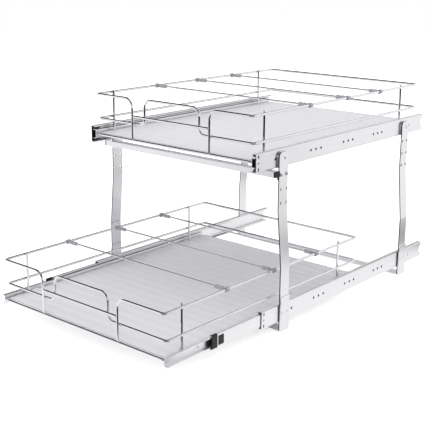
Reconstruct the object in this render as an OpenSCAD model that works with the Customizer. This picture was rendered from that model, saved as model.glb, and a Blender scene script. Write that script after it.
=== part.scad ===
// Two-tier pull-out cabinet organizer: two wire baskets on ball-bearing slides,
// carried by four bent strap legs on two base plates.
// X runs to the right seen from the front, Y to the back, Z up.
// The origin is the centre of the underside of the front base plate.
// The lower basket is drawn partly out, the upper one is closed.

/* [Baskets] */
// Width of the lower basket between the centres of its side wires
lower_w = 400; // [300:1:520]
// Width of the upper basket between the centres of its side wires
upper_w = 378; // [290:1:520]
// Depth of each basket between the centres of its front and back wires
basket_d = 547; // [440:1:600]
// Height from the bottom wire to the rim wire, centre to centre
basket_h = 77.5; // [60:0.5:110]
// Thickness of the basket wires
wire_d = 4.8; // [3:0.1:5]
// Drop of the middle ring below the rim
ring_drop = 47; // [38:0.5:54]
// Drop of the straight front bar below the rim
bar_drop = 32.5; // [26:0.5:37]
// Width of the gap in the front of the rim, between its two upright ends
gate_w = 189; // [150:1:240]
// Width of the raised arch behind the gap, between its two uprights
arch_w = 134; // [100:1:145]
// Radius of the baskets' corners
corner_r = 5; // [5:1:20]
// Radius of the bends where the rim turns down
rim_bend_r = 18; // [10:1:24]
// Radius of the bends at the top of the arch
arch_bend_r = 15; // [8:1:20]
// Radius of the bends at the foot of the arch
foot_bend_r = 12; // [8:1:14]
// Distance from the lower basket's front wire to its front side posts
lower_front_post_y = 45; // [30:1:45]
// Distance from the upper basket's front wire to its front side posts
upper_front_post_y = 38; // [30:1:45]
// Distance from the back wire to the rear side posts
rear_post_y = 57; // [54:1:70]
// How far a side post stands up over the centre of the rim
post_rise = 4.5; // [3:0.5:8]

/* [Basket floor] */
// Thickness of the floor wires
floor_wire_d = 3; // [2:0.1:3.5]
// Spacing of the floor wires
floor_pitch = 25; // [18:1:40]
// Thickness of the plastic liner
liner_t = 2; // [1.2:0.1:4]
// Gap between the liner and the wires round it
liner_gap = 0.6; // [0.3:0.1:2]

/* [Dividers] */
// Thickness of the divider rods
rod_d = 3.4; // [2.5:0.1:4]
// Outer diameter of the clip's ring round the rim
clip_ring_d = 9; // [7:0.1:10]
// Length of the clip's ring along the rim
clip_ring_len = 8; // [6:0.5:12]
// Diameter of the clip's sleeve round the rod
clip_sleeve_d = 7.6; // [5.5:0.1:9]
// Length of the clip's sleeve
clip_sleeve_len = 18; // [14:1:30]
// Thickness of the neck between the ring and the sleeve
clip_neck_t = 3.6; // [3:0.1:5]
// Distance of the first lower divider from the front wire
lower_divider_1 = 149.5; // [110:0.5:170]
// Distance of the second lower divider from the front wire
lower_divider_2 = 278.5; // [240:0.5:300]
// Distance of the third lower divider from the front wire
lower_divider_3 = 408; // [360:0.5:430]
// Distance of the first upper divider from the front wire
upper_divider_1 = 164.5; // [130:0.5:190]
// Distance of the second upper divider from the front wire
upper_divider_2 = 286; // [260:0.5:320]
// Distance of the third upper divider from the front wire
upper_divider_3 = 401.5; // [360:0.5:430]

/* [Slides] */
// Length of the outer rails
rail_len = 560; // [480:10:600]
// Height of the outer rails
rail_h = 33; // [31:0.5:40]
// Thickness of a slide, from the basket side to the outer face
slide_t = 12; // [11.6:0.1:13]
// Sheet thickness of the outer rails
outer_wall = 1.2; // [1:0.1:1.4]
// Sheet thickness of the middle and inner rails
member_wall = 1.1; // [0.9:0.1:1.2]
// Length of the middle rails
middle_len = 550; // [470:5:556]
// Length of the inner rails
inner_len = 548; // [460:5:550]
// Diameter of the balls between the outer and middle rails
outer_ball_d = 2.8; // [2.5:0.1:3.2]
// Diameter of the balls between the middle and inner rails
inner_ball_d = 2.5; // [2.2:0.1:2.8]
// Length of each ball cage
cage_len = 200; // [140:10:220]
// Balls in each row of a cage
balls_per_row = 8; // [4:1:12]
// Distance of a closed middle rail behind the outer rail's front end
middle_inset = 2; // [1:0.5:3]
// Distance of a closed basket's front wire behind the outer rail's front end
basket_inset = 5; // [4:0.5:20]
// How far the inner rails stand out in front of the front wire
inner_lead = 3.5; // [1:0.5:5]

/* [Travel] */
// How far the lower basket is drawn out
lower_pulled = 234; // [0:0.5:520]
// How far the upper basket is drawn out
upper_pulled = 0; // [0:0.5:520]
// Share of the basket's travel that its middle rails make
middle_share = 0.56; // [0.5:0.01:0.6]

/* [Frame] */
// Height from the lower rim to the upper rim
tier_gap = 279.5; // [240:0.5:340]
// Height of the lower rails over the cabinet floor
rail_lift = 18; // [12:0.5:30]
// Height of the rims over the middle of the rails
rim_over_rail = 77.5; // [60:0.5:90]
// Width of the strap that the legs and base plates are made of
strap_w = 25; // [22:0.5:32]
// Thickness of the strap
strap_t = 2.2; // [1.5:0.1:3]
// Distance between the front and rear legs, centre to centre
leg_pitch = 412.5; // [340:0.5:420]
// Distance of the lower rails' front ends ahead of the front legs' centre
rail_overhang = 61; // [50:0.5:70]
// How much further forward the upper rails sit than the lower ones
upper_forward = 9.5; // [0:0.5:20]
// Height of the lower bend in the legs
leg_bend_low = 123; // [105:1:140]
// Height of the upper bend in the legs
leg_bend_high = 222; // [180:1:224]
// Height of the upturned ends of the base plates
foot_h = 65; // [55:0.5:80]
// Spacing of the rows of height holes in the legs
hole_row_pitch = 25; // [22:0.5:26]
// Spacing of the two holes in a row
hole_pair_pitch = 16; // [12:0.5:16]
// Diameter of the height holes
leg_hole_d = 4.5; // [4.2:0.1:5]
// Distance from the top of an upper rail down to the top of its legs
leg_drop = 5.5; // [3:0.5:8]
// Radius of the legs' top corners
leg_top_r = 8; // [4:0.5:11]

/* [Top crossbar] */
// Height of the crossbar's front face
bar_face_h = 10; // [8:0.5:14]
// Depth of the crossbar's top flange
bar_flange_w = 16; // [12:0.5:20]
// Sheet thickness of the crossbar
bar_t = 1.6; // [1.2:0.1:2.2]
// Gap between the upper rails and the crossbar under them
bar_gap = 4; // [3:0.5:6]
// Thickness of the plastic cap on each end of the crossbar
cap_t = 3; // [2:0.5:10]

/* [Fasteners] */
// Head diameter of the leg screws
screw_head_d = 7.6; // [7:0.1:9]
// Head height of the leg screws
screw_head_h = 2.4; // [1.8:0.1:3]
// Shank diameter of the leg screws
screw_d = 4; // [3.5:0.1:4.2]
// Shank diameter of the rivets
rivet_d = 4; // [3:0.1:4.5]
// Head diameter of the rivets
rivet_head_d = 7; // [6:0.1:8]
// Head height of the rivets
rivet_head_h = 1.3; // [1:0.1:2]
// Distance of the legs' top rivets behind the legs' centre
top_rivet_y = 4; // [0:0.5:6]
// Spacing of the two rivets in each foot
foot_rivet_pitch = 15; // [12:0.5:16]
// Diameter of the screw holes in the base plates
floor_hole_d = 5; // [4.5:0.1:6]
// Distance of the screw holes from the middle of a base plate
floor_hole_x = 186; // [175:1:190]
// Distance of the screw slots from the middle of a base plate
floor_slot_x = 150; // [120:1:160]
// Length of the screw slots
floor_slot_len = 22; // [16:1:28]

/* [Rail holes] */
// Diameter of the round holes in the outer rails
rail_hole_d = 4.8; // [4:0.1:5.5]
// Distance of an upper rail's first round hole from its front end
rail_hole_1 = 51.5; // [36:0.5:53]
// Distance of the second round hole from the rail's front end
rail_hole_2 = 86.5; // [80:0.5:92]
// Distance of the middle of the first group of three holes from the rail's front end
triplet_start = 172; // [150:0.5:180]
// Distance between the groups of three holes
triplet_pitch = 105.2; // [95:0.1:110]
// Spacing of the holes in a group
triplet_step = 15.7; // [14:0.1:18]
// Distance of the rear hole from the rail's rear end
rail_hole_rear = 56.5; // [50:0.5:59]
// Length of the slots in the inner rails
inner_slot_len = 17; // [12:0.5:22]
// Width of the slots in the inner rails
inner_slot_w = 4.5; // [3:0.1:5]
// Distance of a slot's middle from the inner rail's nearer end
inner_slot_in = 71; // [60:0.5:90]

/* [Hidden] */
$fn = 48;
eps = 0.01;
LOWER = 0;
UPPER = 1;
LEFT = -1;
RIGHT = 1;

// clearances
ball_play = 0.05;
race_gap = 1.1;
bumper_gap = 0.3;
ring_play = 0.08;
cage_gap = 0.2;
inner_web_gap = 1;

// how deep welded wires sink into each other
weld_sink = 0.4;

// places that follow from the sizes above
wire_r = wire_d / 2;
function width(t) = t == LOWER ? lower_w : upper_w;
function pulled(t) = t == LOWER ? lower_pulled : upper_pulled;
function rail_z(t) = rail_lift + rail_h / 2 + t * tier_gap;
function rim_z(t) = rail_z(t) + rim_over_rail;
function floor_z(t) = rim_z(t) - basket_h;
function rail_y(t) = -rail_overhang - t * upper_forward;
function middle_y(t) = rail_y(t) + middle_inset - middle_share * pulled(t);
function front_y(t) = rail_y(t) + basket_inset - pulled(t);
function back_y(t) = front_y(t) + basket_d;
function inner_y(t) = front_y(t) - inner_lead;
function side_x(t) = width(t) / 2 + wire_r;
function outer_x(t) = side_x(t) + slide_t;
ring_inset = wire_d;
low_x = outer_x(LOWER);
high_x = outer_x(UPPER);
foot_x = low_x + 2 * strap_t;

// the slide's sections, in u from the basket side outwards and w from the middle
outer_half = rail_h / 2;
outer_in = outer_half - outer_wall;
middle_half = outer_in - outer_ball_d - ball_play;
middle_in = middle_half - member_wall;
inner_half = middle_in - inner_ball_d - ball_play;
outer_web_u = slide_t - outer_wall;
middle_out_u = outer_web_u - race_gap;
middle_web_u = middle_out_u - member_wall;
inner_out_u = middle_web_u - inner_web_gap;
outer_lip_u = 1.9;
outer_lip_h = 1.7;
middle_lip_u = 3.4;
middle_lip_h = 1.1;
fold_r = 2.2;
outer_ball_u = (outer_lip_u + outer_wall + middle_out_u) / 2;
inner_ball_u = (middle_lip_u + member_wall + inner_out_u) / 2;

// the ball cages
strip_t = 1.1;
cage_web_t = 0.5;
strip_margin = 0.2;
outer_cage_rest = 0.5 * middle_share;
inner_cage_rest = 0.5 * (1 + middle_share);
outer_cage_closed = 175;
inner_cage_closed = 135;
ball_margin = 10;

// the legs' tops and the crossbar
leg_in_x = high_x + strap_t;
leg_out_x = leg_in_x + strap_t;
leg_top_z = rail_z(UPPER) + outer_half - leg_drop;
bar_z = rail_z(UPPER) - outer_half - bar_gap;
bar_back_y = -strap_w / 2;
bar_front_y = bar_back_y - bar_flange_w;
lug_h = 17;
bar_hole_d = 3.5;
bar_hole_in = [20, 30, 40];
screw_z = bar_z - lug_h / 2;
screw_tip = 3;
cross_w = 0.9;
cross_len = 4;

// ---------- helpers ----------

// A straight length of wire that starts at p and runs along X, Y or Z
module wire_x(p, len, d) translate(p) rotate([0, 90, 0]) cylinder(h = len, d = d);
module wire_y(p, len, d) translate(p) rotate([-90, 0, 0]) cylinder(h = len, d = d);
module wire_z(p, len, d) translate(p) cylinder(h = len, d = d);

// A quarter bend that lies flat, round the centre p, from the angle a to a + 90
module flat_bend(p, r, a, d)
    translate(p) rotate([0, 0, a]) rotate_extrude(angle = 90) translate([r, 0]) circle(d = d);

// A quarter bend that stands in the XZ plane, round the centre p, from the angle a to a + 90
module upright_bend(p, r, a, d)
    translate(p) rotate([90, 0, 0]) rotate([0, 0, a])
        rotate_extrude(angle = 90) translate([r, 0]) circle(d = d);

// A rectangle with round corners, its lower left corner at the origin
module round_rect(w, h, r) {
    translate([r, 0]) square([w - 2 * r, h]);
    translate([0, r]) square([w, h - 2 * r]);
    for (x = [r, w - r], y = [r, h - r]) translate([x, y]) circle(r = r);
}

// A bar of the section drawn in u and w, along Y from y0, on one side of one tier
module slide_bar(t, side, y0, len)
    mirror([side == LEFT ? 1 : 0, 0, 0])
        translate([side_x(t), y0 + len, rail_z(t)]) rotate([90, 0, 0])
            linear_extrude(height = len) children();

// Places a shape that is drawn at the slide's inner face, on one side of one tier
module at_slide(t, side)
    mirror([side == LEFT ? 1 : 0, 0, 0]) translate([side_x(t), 0, rail_z(t)]) children();

// A hole or a pin along X from x to x + len
module along_x(x, y, z, len, d) translate([x, y, z]) rotate([0, 90, 0]) cylinder(h = len, d = d);

// ---------- frame ----------

function leg_y(rear) = rear ? leg_pitch : 0;

module slot_z(x, y, len, d, h) {
    translate([x - len / 2 + d / 2, y, -eps]) cylinder(h = h + 2 * eps, d = d);
    translate([x + len / 2 - d / 2, y, -eps]) cylinder(h = h + 2 * eps, d = d);
    translate([x - len / 2 + d / 2, y - d / 2, -eps]) cube([len - d, d, h + 2 * eps]);
}

// Flat bar on the cabinet floor with an upturned end outside each lower rail
module base_plate(rear) {
    color("gainsboro") translate([0, leg_y(rear), 0]) difference() {
        union() {
            translate([-foot_x, -strap_w / 2, 0]) cube([2 * foot_x, strap_w, strap_t]);
            for (side = [LEFT, RIGHT])
                translate([side > 0 ? foot_x - strap_t : -foot_x, -strap_w / 2, 0])
                    cube([strap_t, strap_w, foot_h]);
        }
        for (side = [LEFT, RIGHT]) {
            translate([side * floor_hole_x, 0, -eps])
                cylinder(h = strap_t + 2 * eps, d = floor_hole_d);
            slot_z(side * floor_slot_x, 0, floor_slot_len, floor_hole_d, strap_t);
        }
        for (y = [-1, 1])
            along_x(-foot_x - eps, y * foot_rivet_pitch / 2, rail_z(LOWER), 2 * foot_x + 2 * eps, rivet_d);
    }
}

// The leg's edge view: upright, slanting outwards, upright
module leg_section()
    polygon([
        [leg_in_x, leg_top_z], [leg_in_x, leg_bend_high],
        [low_x, leg_bend_low], [low_x, strap_t],
        [low_x + strap_t, strap_t], [low_x + strap_t, leg_bend_low],
        [leg_out_x, leg_bend_high], [leg_out_x, leg_top_z]
    ]);

// The leg's side view: a strap with two round corners at its top
module leg_outline(z0) {
    translate([-strap_w / 2, z0]) square([strap_w, leg_top_z - leg_top_r - z0]);
    translate([-strap_w / 2 + leg_top_r, z0]) square([strap_w - 2 * leg_top_r, leg_top_z - z0]);
    for (s = [-1, 1])
        translate([s * (strap_w / 2 - leg_top_r), leg_top_z - leg_top_r]) circle(r = leg_top_r);
}

// A plate with the leg's side view, from x0 to x1
module leg_plate(x0, x1, z0)
    translate([x0, 0, 0]) rotate([90, 0, 90]) linear_extrude(height = x1 - x0) leg_outline(z0);

// One bent strap leg with its height holes
module leg(rear, side) {
    color("lightgray") mirror([side == LEFT ? 1 : 0, 0, 0]) translate([0, leg_y(rear), 0])
        difference() {
            intersection() {
                translate([0, strap_w / 2, 0]) rotate([90, 0, 0])
                    linear_extrude(height = strap_w) leg_section();
                leg_plate(min(leg_in_x, low_x) - eps, max(leg_out_x, low_x + strap_t) + eps, 0);
            }
            for (row = [0 : 2], y = [-1, 1])
                along_x(leg_in_x - eps, y * hole_pair_pitch / 2, screw_z - row * hole_row_pitch,
                        strap_t + 2 * eps, row == 0 && !rear ? screw_d : leg_hole_d);
            for (y = [-1, 1])
                along_x(low_x - eps, y * foot_rivet_pitch / 2, rail_z(LOWER),
                        strap_t + 2 * eps, rivet_d);
            along_x(leg_in_x - eps, top_rivet_y, rail_z(UPPER), strap_t + 2 * eps, rivet_d);
        }
}

// The pads that hold the tops of the legs off the upper rails
module leg_pads()
    color("darkgray") for (rear = [false, true], side = [LEFT, RIGHT])
        mirror([side == LEFT ? 1 : 0, 0, 0]) translate([0, leg_y(rear), 0]) difference() {
            leg_plate(high_x, leg_in_x, rail_z(UPPER) - outer_half);
            along_x(high_x - eps, top_rivet_y, rail_z(UPPER), strap_t + 2 * eps, rivet_d);
        }

// Angle bar under the front of the upper rails, with a lug behind each front leg
module top_crossbar() {
    color("gainsboro") difference() {
        union() {
            translate([-leg_out_x, bar_front_y, bar_z - bar_t])
                cube([2 * leg_out_x, bar_flange_w, bar_t]);
            translate([-leg_out_x, bar_front_y, bar_z - bar_face_h])
                cube([2 * leg_out_x, bar_t, bar_face_h]);
            for (side = [LEFT, RIGHT])
                translate([side > 0 ? high_x : -leg_in_x, bar_back_y - bar_t, bar_z - lug_h])
                    cube([strap_t, bar_t + strap_w, lug_h]);
        }
        for (x = bar_hole_in, side = [LEFT, RIGHT])
            translate([side * (leg_out_x - x), bar_front_y + bar_flange_w / 2, bar_z - bar_t - eps])
                cylinder(h = bar_t + 2 * eps, d = bar_hole_d);
        for (y = [-1, 1])
            along_x(-leg_in_x - eps, y * hole_pair_pitch / 2, screw_z,
                    2 * leg_in_x + 2 * eps, screw_d);
    }
}

// Plastic caps on the crossbar's ends
module crossbar_caps()
    color("black") for (side = [LEFT, RIGHT]) mirror([side == LEFT ? 1 : 0, 0, 0])
        translate([leg_out_x, bar_front_y, bar_z - bar_face_h])
            cube([cap_t, bar_flange_w - bar_t, bar_face_h]);

// A domed head on the end of a shank, both along X; the head sits on the plane at x
module domed_head(x, y, z, head_d, head_h, pin_d, grip) {
    dome_r = (head_d * head_d / 4 + head_h * head_h) / (2 * head_h);
    translate([x, y, z]) rotate([0, 90, 0]) {
        rotate_extrude() intersection() {
            translate([0, head_h - dome_r]) circle(r = dome_r, $fn = 2 * $fn);
            square([head_d, head_h]);
        }
        translate([0, 0, -grip]) cylinder(h = grip, d = pin_d);
    }
}

// Pan-head screws through the front legs into the crossbar's lugs
module leg_screw(y)
    difference() {
        domed_head(leg_out_x, y, screw_z, screw_head_d, screw_head_h, screw_d, 2 * strap_t + screw_tip);
        for (a = [0, 90])
            translate([leg_out_x + screw_head_h, y, screw_z]) rotate([a, 0, 0])
                cube([screw_head_h, cross_w, cross_len], center = true);
    }

module leg_screws()
    color("silver") for (side = [LEFT, RIGHT], y = [-1, 1])
        mirror([side == LEFT ? 1 : 0, 0, 0]) leg_screw(y * hole_pair_pitch / 2);

module rivets()
    color("silver") for (side = [LEFT, RIGHT]) mirror([side == LEFT ? 1 : 0, 0, 0])
        for (rear = [false, true]) {
            for (y = [-1, 1])
                domed_head(foot_x, leg_y(rear) + y * foot_rivet_pitch / 2, rail_z(LOWER),
                           rivet_head_d, rivet_head_h, rivet_d, 2 * strap_t + outer_wall);
            domed_head(leg_out_x, leg_y(rear) + top_rivet_y, rail_z(UPPER),
                       rivet_head_d, rivet_head_h, rivet_d, 2 * strap_t + outer_wall);
        }

// ---------- slides ----------

// A channel section that opens towards the basket, with its lips turned in
module channel_section(u0, u1, half, wall, lip) {
    difference() {
        translate([u0, -half]) round_rect(u1 - u0, 2 * half, fold_r);
        translate([u0 + wall, wall - half])
            round_rect(u1 - u0 - 2 * wall, 2 * (half - wall), fold_r - wall);
        translate([u0 - eps, -half + wall + lip])
            square([wall + fold_r, 2 * (half - wall - lip)]);
    }
}

// Fixed rail with its screw holes, the slots at its front end and the notch at its rear end
module outer_rail(t, side) {
    y0 = rail_y(t);
    color("gainsboro") difference() {
        slide_bar(t, side, y0, rail_len)
            channel_section(outer_lip_u, slide_t, outer_half, outer_wall, outer_lip_h);
        at_slide(t, side) {
            if (t == UPPER)
                along_x(outer_web_u - eps, y0 + rail_hole_1, 0, outer_wall + 2 * eps, rail_hole_d);
            for (y = [rail_hole_2, rail_len - rail_hole_rear])
                along_x(outer_web_u - eps, y0 + y, 0, outer_wall + 2 * eps, rail_hole_d);
            for (group = [0 : 2], k = [-1 : 1])
                along_x(outer_web_u - eps, y0 + triplet_start + group * triplet_pitch + k * triplet_step,
                        0, outer_wall + 2 * eps, rail_hole_d);
            rail_front_holes(y0);
            rail_notch(y0);
            if (t == LOWER) for (rear = [false, true], y = [-1, 1])
                along_x(outer_web_u - eps, leg_y(rear) + y * foot_rivet_pitch / 2, 0,
                        outer_wall + 2 * eps, rivet_d);
            if (t == UPPER) for (rear = [false, true])
                along_x(outer_web_u - eps, leg_y(rear) + top_rivet_y, 0,
                        outer_wall + 2 * eps, rivet_d);
        }
    }
}

front_hole_y = 5.4;
front_hole_z = 11;
front_hole_d = 3;
front_slot_len = 6;
notch_depth = 6;
notch_h = 15;

// A round hole and two upright slots at the very front of an outer rail
module rail_front_holes(y0) {
    along_x(outer_web_u - eps, y0 + front_hole_y, 0, outer_wall + 2 * eps, front_hole_d);
    for (s = [-1, 1]) {
        for (k = [-1, 1])
            along_x(outer_web_u - eps, y0 + front_hole_y,
                    s * (front_hole_z + k * (front_slot_len - front_hole_d) / 2),
                    outer_wall + 2 * eps, front_hole_d);
        translate([outer_web_u - eps, y0 + front_hole_y - front_hole_d / 2,
                   s * front_hole_z - (front_slot_len - front_hole_d) / 2])
            cube([outer_wall + 2 * eps, front_hole_d, front_slot_len - front_hole_d]);
    }
}

module rail_notch(y0)
    translate([outer_web_u - eps, y0 + rail_len - notch_depth, -notch_h / 2])
        cube([outer_wall + 2 * eps, notch_depth + eps, notch_h]);

// Black plastic guides in the front ends of the outer rails
guide_len = 4;
guide_lip_u = outer_lip_u + fold_r;
guide_lip_w = middle_half + bumper_gap;
guide_half = outer_in - (fold_r - outer_wall);
module rail_bumper(t, side)
    slide_bar(t, side, rail_y(t), guide_len) {
        translate([middle_out_u + 2 * bumper_gap, -guide_half])
            square([outer_web_u - middle_out_u - 2 * bumper_gap, 2 * guide_half]);
        for (s = [0, 1]) mirror([0, s]) translate([guide_lip_u, guide_lip_w]) {
            square([outer_web_u - guide_lip_u, guide_half - guide_lip_w]);
            square([slide_t - fold_r - guide_lip_u, outer_in - guide_lip_w]);
        }
    }

module rail_bumpers()
    color("black") for (t = [LOWER, UPPER], side = [LEFT, RIGHT]) rail_bumper(t, side);

// Middle rail; its front end is a black plastic piece and its web has a window for another
front_piece_len = 13.5;
window_y = 15.5;
window_len = 14;
window_h = 17;
pad_proud = 0.3;
module middle_section()
    channel_section(middle_lip_u, middle_out_u, middle_half, member_wall, middle_lip_h);

module middle_rail(t, side) {
    y0 = middle_y(t);
    color("silver") difference() {
        slide_bar(t, side, y0 + front_piece_len, middle_len - front_piece_len) middle_section();
        at_slide(t, side) translate([middle_web_u - eps, y0 + window_y, -window_h / 2])
            cube([member_wall + 2 * eps, window_len, window_h]);
    }
}

module middle_bumpers(t, side)
    color("black") {
        slide_bar(t, side, middle_y(t), front_piece_len) middle_section();
        at_slide(t, side) translate([middle_web_u, middle_y(t) + window_y, -window_h / 2])
            cube([member_wall + pad_proud, window_len, window_h]);
    }

// Inner rail, fixed along the side of the basket
module inner_section()
    difference() {
        translate([0, -inner_half]) round_rect(inner_out_u + fold_r, 2 * inner_half, fold_r);
        translate([member_wall, member_wall - inner_half])
            round_rect(inner_out_u + fold_r, 2 * (inner_half - member_wall), fold_r - member_wall);
        translate([inner_out_u, -inner_half - eps])
            square([2 * fold_r, 2 * inner_half + 2 * eps]);
    }

module inner_rail(t, side) {
    y0 = inner_y(t);
    color("whitesmoke") difference() {
        slide_bar(t, side, y0, inner_len) inner_section();
        at_slide(t, side) for (y = [inner_slot_in, inner_len - inner_slot_in]) {
            for (k = [-1, 1])
                along_x(-eps, y0 + y + k * (inner_slot_len - inner_slot_w) / 2, 0,
                        member_wall + 2 * eps, inner_slot_w);
            translate([-eps, y0 + y - (inner_slot_len - inner_slot_w) / 2, -inner_slot_w / 2])
                cube([member_wall + 2 * eps, inner_slot_len - inner_slot_w, inner_slot_w]);
        }
    }
}

// Steel ball cage: two strips of balls joined by a thin web
module ball_cage(t, side, y0, web_u, ball_u, ball_w, ball_d) {
    ball_step = (cage_len - 2 * ball_margin) / (balls_per_row - 1);
    strip_u = ball_u - ball_d / 2 - strip_margin;
    color("lightgray") {
        difference() {
            slide_bar(t, side, y0, cage_len) {
                translate([web_u, -ball_w - strip_t / 2]) square([cage_web_t, 2 * ball_w + strip_t]);
                for (s = [-1, 1]) translate([strip_u, s * ball_w - strip_t / 2])
                    square([web_u + cage_web_t - strip_u, strip_t]);
            }
            at_slide(t, side) for (k = [0 : balls_per_row - 1], s = [-1, 1])
                translate([ball_u, y0 + ball_margin + k * ball_step, s * ball_w - strip_t])
                    cylinder(h = 2 * strip_t, d = ball_d + 2 * ball_play);
        }
        at_slide(t, side) for (k = [0 : balls_per_row - 1], s = [-1, 1])
            translate([ball_u, y0 + ball_margin + k * ball_step, s * ball_w]) sphere(d = ball_d);
    }
}

module outer_cage(t, side)
    ball_cage(t, side, rail_y(t) + outer_cage_closed - outer_cage_rest * pulled(t),
              middle_out_u + cage_gap, outer_ball_u, (middle_half + outer_in) / 2, outer_ball_d);

module inner_cage(t, side)
    ball_cage(t, side, rail_y(t) + inner_cage_closed - inner_cage_rest * pulled(t),
              inner_out_u + cage_gap, inner_ball_u, (inner_half + middle_in) / 2, inner_ball_d);

// ---------- baskets ----------

// The sides and back of a ring of wire, from the front corners round the back
module three_sides(t, z, y_front) {
    w = width(t) / 2;
    r = corner_r;
    y1 = back_y(t);
    for (side = [-1, 1])
        wire_y([side * w, y_front + r, z], y1 - y_front - 2 * r, wire_d);
    wire_x([-w + r, y1, z], 2 * (w - r), wire_d);
    flat_bend([-w + r, y_front + r, z], r, 180, wire_d);
    flat_bend([w - r, y_front + r, z], r, 270, wire_d);
    flat_bend([-w + r, y1 - r, z], r, 90, wire_d);
    flat_bend([w - r, y1 - r, z], r, 0, wire_d);
}

// Rim: round the sides and back, and down to the bottom wire at the gap in the front
module rim_wire(t) {
    w = width(t) / 2;
    z = rim_z(t);
    y0 = front_y(t);
    gate_x = gate_w / 2;
    upright_top = z - rim_bend_r;
    upright_foot = floor_z(t) + wire_r;
    color("silver") {
        three_sides(t, z, y0);
        for (side = [0, 1]) mirror([side, 0, 0]) {
            wire_x([gate_x + rim_bend_r, y0, z], w - corner_r - gate_x - rim_bend_r, wire_d);
            upright_bend([gate_x + rim_bend_r, y0, upright_top], rim_bend_r, 90, wire_d);
            wire_z([gate_x, y0, upright_foot], upright_top - upright_foot, wire_d);
        }
    }
}

// Middle ring, whose front rises in an arch behind the gap in the rim
module ring_wire(t) {
    w = width(t) / 2;
    z = rim_z(t) - ring_drop;
    top = rim_z(t);
    y0 = front_y(t) + ring_inset;
    arch_x = arch_w / 2;
    run_x = arch_x + foot_bend_r;
    color("silver") {
        three_sides(t, z, y0);
        wire_x([-arch_x + arch_bend_r, y0, top], 2 * (arch_x - arch_bend_r), wire_d);
        for (side = [0, 1]) mirror([side, 0, 0]) {
            upright_bend([arch_x - arch_bend_r, y0, top - arch_bend_r], arch_bend_r, 0, wire_d);
            wire_z([arch_x, y0, z + foot_bend_r], top - arch_bend_r - z - foot_bend_r, wire_d);
            upright_bend([run_x, y0, z + foot_bend_r], foot_bend_r, 180, wire_d);
            wire_x([run_x, y0, z], w - corner_r - run_x, wire_d);
        }
    }
}

// Straight bar between the two upright ends of the rim
module front_bar(t)
    color("silver") wire_x([-gate_w / 2 + wire_r, front_y(t), rim_z(t) - bar_drop],
                           gate_w - wire_d, wire_d);

// Bottom frame with its cross wires, on a carrier wire along the middle
module floor_grid(t) {
    w = width(t) / 2;
    z = floor_z(t);
    reach = w - wire_r + weld_sink;
    gaps = round(basket_d / floor_pitch);
    step = basket_d / gaps;
    carrier_z = z - floor_wire_d + weld_sink;
    color("silver") {
        three_sides(t, z, front_y(t));
        wire_x([-w + corner_r, front_y(t), z], 2 * (w - corner_r), wire_d);
        for (k = [1 : gaps - 1])
            wire_x([-reach, front_y(t) + k * step, z], 2 * reach, floor_wire_d);
        wire_y([0, front_y(t), carrier_z], basket_d, floor_wire_d);
    }
}

// Where the side posts stand, front and rear
function post_places(t) = [front_y(t) + (t == LOWER ? lower_front_post_y : upper_front_post_y),
                           back_y(t) - rear_post_y];

// Four posts inside the corners, from the bottom frame to just over the rim
module side_posts(t)
    color("silver") for (side = [-1, 1], y = post_places(t))
        wire_z([side * (width(t) / 2 - wire_d), y, floor_z(t) - wire_r],
               basket_h + wire_r + post_rise, wire_d);

// Translucent plastic sheet on the floor wires, notched round the side posts
module liner(t) {
    inset = wire_r + liner_gap;
    half = width(t) / 2 - inset;
    z = floor_z(t) + floor_wire_d / 2;
    notch_w = wire_d + 2 * liner_gap;
    color([0.86, 0.86, 0.88, 0.8]) difference() {
        translate([-half, front_y(t) + inset, z]) linear_extrude(height = liner_t)
            round_rect(2 * half, basket_d - 2 * inset, corner_r - inset);
        for (side = [-1, 1], y = post_places(t))
            translate([side * (half - notch_w / 2 + eps), y, z - eps + liner_t / 2])
                cube([notch_w, notch_w, liner_t + 4 * eps], center = true);
    }
}

// Divider rod across the rim, and the clips that carry it on the rim's side wires
function divider_y(t, n) = front_y(t) + (t == LOWER
    ? [lower_divider_1, lower_divider_2, lower_divider_3]
    : [upper_divider_1, upper_divider_2, upper_divider_3])[n - 1];
neck_len = 3;
rod_depth = 14;
function sleeve_x(t) = width(t) / 2 - clip_ring_d / 2 - neck_len;
function rod_end_x(t) = sleeve_x(t) - clip_sleeve_len + rod_depth;

module divider_rod(t, n)
    color("silver") wire_x([-rod_end_x(t), divider_y(t, n), rim_z(t)], 2 * rod_end_x(t), rod_d);

module divider_clip(t) {
    w = width(t) / 2;
    difference() {
        union() {
            wire_y([w, -clip_ring_len / 2, 0], clip_ring_len, clip_ring_d);
            wire_x([sleeve_x(t) - clip_sleeve_len, 0, 0], clip_sleeve_len, clip_sleeve_d);
            translate([sleeve_x(t) - eps, -clip_neck_t / 2, -clip_neck_t / 2])
                cube([w - sleeve_x(t) + eps, clip_neck_t, clip_neck_t]);
        }
        wire_y([w, -clip_ring_len, 0], 2 * clip_ring_len, wire_d + 2 * ring_play);
        wire_x([rod_end_x(t) - rod_depth - eps, 0, 0], rod_depth + eps, rod_d);
    }
}

module divider_clips(t, n)
    color("darkgray") translate([0, divider_y(t, n), rim_z(t)])
        for (side = [0, 1]) mirror([side, 0, 0]) divider_clip(t);

// ---------- the nodes ----------

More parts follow.
